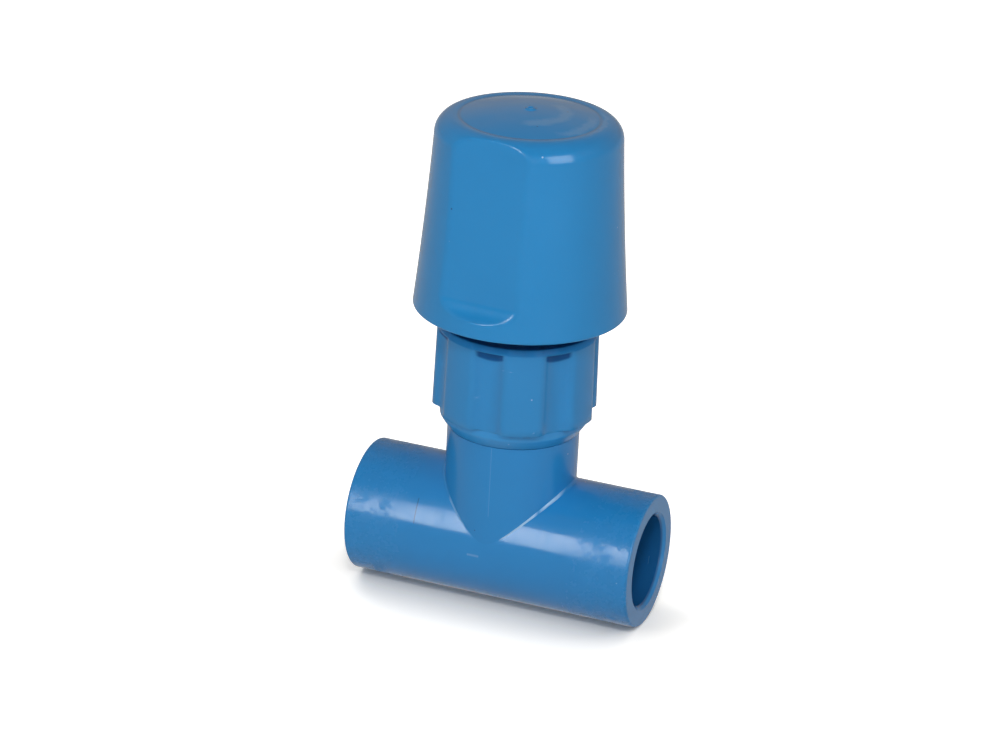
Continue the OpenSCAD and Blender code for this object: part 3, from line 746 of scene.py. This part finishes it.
def nut_light_and_shade(tree, colour):
    """Paints shade on the nut's collar under the handle, in the tops of its flutes and at its foot, and
    light on its skirt, at every pose.
    """
    place = object_place(tree)
    height = axes(tree, place)[2]
    reach = reach_from(tree, place, SPINDLE_LINE)
    for start, full, amount, tone in NUT_LIGHT_AND_SHADE:
        share = spread(tree, height, start * MM, full * MM, to_high=amount, curve="SMOOTHSTEP")
        colour = blend(tree, share, colour, tone)
    # Painted shade in the tops of the flutes, under the collar
    slanted = maths(tree, "MULTIPLY_ADD", reach, FLUTE_LEAN, height)
    upper = spread(tree, slanted, FLUTE_SHADE[0] * MM, FLUTE_SHADE[1] * MM, to_high=FLUTE_DARK,
                   curve="SMOOTHSTEP")
    hollow = spread(tree, reach, FLUTE_HOLLOW_R[0] * MM, FLUTE_HOLLOW_R[1] * MM)
    under = product(tree, upper, hollow)
    colour = blend(tree, under, colour, FLUTE_SHADE_TONE)
    start, full = NUT_LIGHT_AND_SHADE[0][:2]
    gloss = spread(tree, height, start * MM, full * MM, PLAIN_SPECULAR, COLLAR_SPECULAR)
    mirror = product(tree, gloss, maths(tree, "MULTIPLY_ADD", under, -FLUTE_DARK, 1.0))
    put(tree, mirror, tree.nodes["Principled BSDF"].inputs["Specular IOR Level"])
    return colour


def moulded(name, colour, deep, smooth, speck, scuff, ripple, shade=None, wear=None):
    """A moulded plastic from the shared moulded face, with its own painted light, shade and marks and its
    own wear, where it has them.
    """
    material, tree = new_material(name)
    shader = tree.nodes["Principled BSDF"]
    face = node(tree, "ShaderNodeGroup", node_tree=MOULDED)
    for key, value in (("Color", colour), ("Deep Color", deep), ("Speck Amount", speck),
                       ("Scuff Amount", scuff), ("Smooth", smooth)):
        face.inputs[key].default_value = value
    tone, rough = face.outputs["Color"], face.outputs["Roughness"]
    put(tree, shade(tree, tone) if shade else tone, shader.inputs["Base Color"])
    put(tree, wear(tree, rough) if wear else rough, shader.inputs["Roughness"])
    bumped(tree, face.outputs["Height"], ripple, 0.4 * MM)
    return material


def grained(name, colour, metallic, rough, scale, strength):
    """A plain material with fine grain in its colour, roughness and height, for metal and rubber."""
    material, tree = new_material(name)
    shader = tree.nodes["Principled BSDF"]
    shader.inputs["Metallic"].default_value = metallic
    grain = noise(tree, object_place(tree), scale, 4.0, 0.6)
    deep = (*[c * 0.7 for c in colour[:3]], 1.0)
    put(tree, blend(tree, grain, colour, deep), shader.inputs["Base Color"])
    put(tree, spread(tree, grain, 0.0, 1.0, rough - 0.08, rough + 0.12), shader.inputs["Roughness"])
    bumped(tree, grain, strength, 0.2 * MM)
    return material


# Materials

BODY_COLOURS = (linear(36, 129, 193), linear(32, 122, 186))
HANDLE_BLUE = moulded("handle_blue", linear(32, 133, 196), linear(29, 127, 189), 0.13, 0.9, 0.5, 0.08,
                      shade=cap_reflections)
NUT_BLUE = moulded("nut_blue", linear(40, 131, 192), linear(37, 124, 185), 0.18, 0.8, 0.5, 0.1,
                   shade=nut_light_and_shade)
BODY_BLUE = moulded("body_blue", *BODY_COLOURS, 0.12, 0.8, 1.0, 0.06, shade=socket_shade_and_marks, wear=body_wear)
FILLET_BLUE = moulded("fillet_blue", *BODY_COLOURS, 0.12, 0.8, 1.0, 0.06, shade=fillet_shine)
PALE_PLASTIC = moulded("pale_plastic", linear(226, 226, 220), linear(214, 213, 205), 0.35, 0.2, 0.3, 0.2)
RUBBER = grained("black_rubber", linear(34, 34, 36), 0.0, 0.62, 900.0, 0.3)
BRASS = grained("turned_brass", linear(196, 160, 92), 1.0, 0.3, 1300.0, 0.2)
STEEL = grained("bright_steel", linear(188, 190, 192), 1.0, 0.28, 1500.0, 0.2)

NODE_MATERIALS = {
    "body": BODY_BLUE, "bonnet_nut": NUT_BLUE, "handle": HANDLE_BLUE,
    "slip_ring": PALE_PLASTIC, "bonnet": PALE_PLASTIC, "gland_nut": PALE_PLASTIC,
    "stem": PALE_PLASTIC, "plug": PALE_PLASTIC,
    "bonnet_gasket": RUBBER, "bonnet_o_ring": RUBBER, "gland_packing": RUBBER, "seat_washer": RUBBER,
    "gland_washer": BRASS, "back_seat_washer": BRASS,
    "plug_clip": STEEL, "washer_plate": STEEL, "washer_screw": STEEL, "handle_clip": STEEL,
}


def dress_nodes():
    """Gives each node of the frame its material."""
    for name, material in NODE_MATERIALS.items():
        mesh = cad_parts[name].data
        mesh.materials.clear()
        mesh.materials.append(material)


# Stage, light and camera

FLOOR_HALF = 4.0
FLOOR_COLOUR = (0.83, 0.8, 0.75, 1)
FLOOR_MIRRORED = (0.5, 0.48, 0.45, 1)
FLOOR_SHADE_REACH = 42.0
FLOOR_SHADE_POWER = 1.6
ROOM_BEHIND = ((0.0, (0.40, 0.34, 0.27)), (0.35, (0.48, 0.40, 0.30)), (0.8, (0.34, 0.27, 0.2)))
ROOM_BEFORE = ((0.0, (0.42, 0.42, 0.40)), (0.35, (0.60, 0.60, 0.58)), (0.75, (0.32, 0.28, 0.24)))
LAMP_AIM = Vector((0, 0, 60.0)) * MM


def make_floor():
    """White floor: it glows towards the camera except in a painted shadow where the valve is near, and is
    grey in mirrors.
    """
    material, tree = new_material("white_floor")
    tree.nodes.remove(tree.nodes["Principled BSDF"])
    plain = node(tree, "ShaderNodeBsdfDiffuse", inputs={"Color": FLOOR_COLOUR})
    glow = node(tree, "ShaderNodeEmission", inputs={"Color": (1, 1, 1, 1)})
    mirrored = node(tree, "ShaderNodeEmission", inputs={"Color": FLOOR_MIRRORED})
    rays = tree.nodes.new("ShaderNodeLightPath")
    # Painted shadow: the glow fades where the valve hides the floor nearby
    nearby = node(tree, "ShaderNodeAmbientOcclusion", samples=8, inputs={"Distance": FLOOR_SHADE_REACH * MM})
    clear = maths(tree, "POWER", nearby.outputs["AO"], FLOOR_SHADE_POWER)
    put(tree, product(tree, clear, rays.outputs["Is Camera Ray"]), glow.inputs["Strength"])
    both = tree.nodes.new("ShaderNodeAddShader")
    put(tree, plain.outputs[0], both.inputs[0])
    put(tree, glow.outputs[0], both.inputs[1])
    either = tree.nodes.new("ShaderNodeMixShader")
    put(tree, rays.outputs["Is Glossy Ray"], either.inputs["Fac"])
    put(tree, both.outputs[0], either.inputs[1])
    put(tree, mirrored.outputs[0], either.inputs[2])
    put(tree, either.outputs[0], tree.nodes["Material Output"].inputs["Surface"])
    corners = [(x * FLOOR_HALF, y * FLOOR_HALF, 0) for x, y in ((-1, -1), (1, -1), (1, 1), (-1, 1))]
    mesh = bpy.data.meshes.new("floor")
    mesh.from_pydata(corners, [], [(0, 1, 2, 3)])
    floor = bpy.data.objects.new("floor", mesh)
    bpy.context.scene.collection.objects.link(floor)
    mesh.materials.append(material)


def make_world():
    """A dim warm room that only mirrors on the plastic: paler in front, browner behind and overhead."""
    world = bpy.data.worlds.new("room")
    bpy.context.scene.world = world
    world.use_nodes = True
    tree = world.node_tree
    _, y, z = axes(tree, tree.nodes.new("ShaderNodeTexCoord").outputs["Generated"])
    sides = []
    for tones in (ROOM_BEHIND, ROOM_BEFORE):
        ramp = tree.nodes.new("ShaderNodeValToRGB")
        elements = ramp.color_ramp.elements
        while len(elements) < len(tones):
            elements.new(0.5)
        for element, (position, tone) in zip(elements, tones):
            element.position = position
            element.color = (*tone, 1)
        put(tree, z, ramp.inputs["Fac"])
        sides.append(ramp.outputs["Color"])
    background = tree.nodes["Background"]
    background.inputs["Strength"].default_value = 1.0
    put(tree, blend(tree, spread(tree, y, 0.3, -0.5), *sides), background.inputs["Color"])
    world.cycles_visibility.diffuse = False


def backwards(azimuth, elevation):
    """Direction from the valve to a lamp or camera, in degrees, with azimuth 0 at the front."""
    a, e = math.radians(azimuth), math.radians(elevation)
    return Vector((math.sin(a) * math.cos(e), -math.cos(a) * math.cos(e), math.sin(e)))


def softbox(name, azimuth, elevation, distance, width, height, power, mirrored=False):
    """A rectangular lamp, in degrees, metres and watts, that lights the valve or only mirrors on it."""
    data = bpy.data.lights.new(name, "AREA")
    data.shape = "RECTANGLE"
    data.size, data.size_y = width, height
    data.energy = power
    lamp = bpy.data.objects.new(name, data)
    back = backwards(azimuth, elevation)
    lamp.location = LAMP_AIM + back * distance
    lamp.rotation_euler = (-back).to_track_quat("-Z", "Y").to_euler()
    lamp.visible_glossy = mirrored
    lamp.visible_diffuse = not mirrored
    bpy.context.scene.collection.objects.link(lamp)
    return lamp


def make_lights():
    """Soft lamps all round that light the valve, and windows whose reflections show on the plastic."""
    softbox("front_light", 20, 12, 0.9, 0.4, 0.3, 1.75)
    softbox("key_light", 20, 41, 0.9, 0.1, 0.1, 2.1)
    softbox("left_light", -24, 28, 0.7, 0.16, 0.4, 1.3)
    softbox("right_light", 60, 35, 0.9, 0.3, 0.3, 1.0)
    softbox("far_right_light", 100, 30, 0.9, 0.3, 0.4, 1.5)
    softbox("back_left_light", -120, 45, 0.9, 0.4, 0.4, 1.8)
    softbox("left_window", -20, 20, 1.6, 0.2, 0.84, 3.9, mirrored=True)
    softbox("right_window", 60, 18, 0.9, 0.46, 0.62, 3.2, mirrored=True)


def make_camera():
    """Camera at the photograph's place, from the fitted angles, distance and offsets."""
    back = backwards(CAMERA_AZIMUTH, CAMERA_ELEVATION)
    azimuth, roll = math.radians(CAMERA_AZIMUTH), math.radians(CAMERA_ROLL)
    right = Vector((math.cos(azimuth), math.sin(azimuth), 0))
    up = back.cross(right)
    rolled_right = right * math.cos(roll) + up * math.sin(roll)
    rolled_up = up * math.cos(roll) - right * math.sin(roll)
    place = Vector(CAMERA_AIM) + back * CAMERA_DISTANCE + rolled_right * CAMERA_RIGHT + rolled_up * CAMERA_UP
    data = bpy.data.cameras.new("camera")
    data.lens = LENS_MM
    data.sensor_width = SENSOR_MM
    data.clip_start, data.clip_end = 0.01, 20
    camera = bpy.data.objects.new("camera", data)
    turn = Matrix((rolled_right, rolled_up, back)).transposed().to_4x4()
    camera.matrix_world = Matrix.Translation(place * MM) @ turn
    bpy.context.scene.collection.objects.link(camera)
    bpy.context.scene.camera = camera


make_camera()
dress_nodes()
make_handle(HANDLE_BLUE)
make_nut(NUT_BLUE)
make_saddle(FILLET_BLUE)
make_floor()
make_world()
make_lights()
bpy.context.scene.view_settings.view_transform = "Standard"
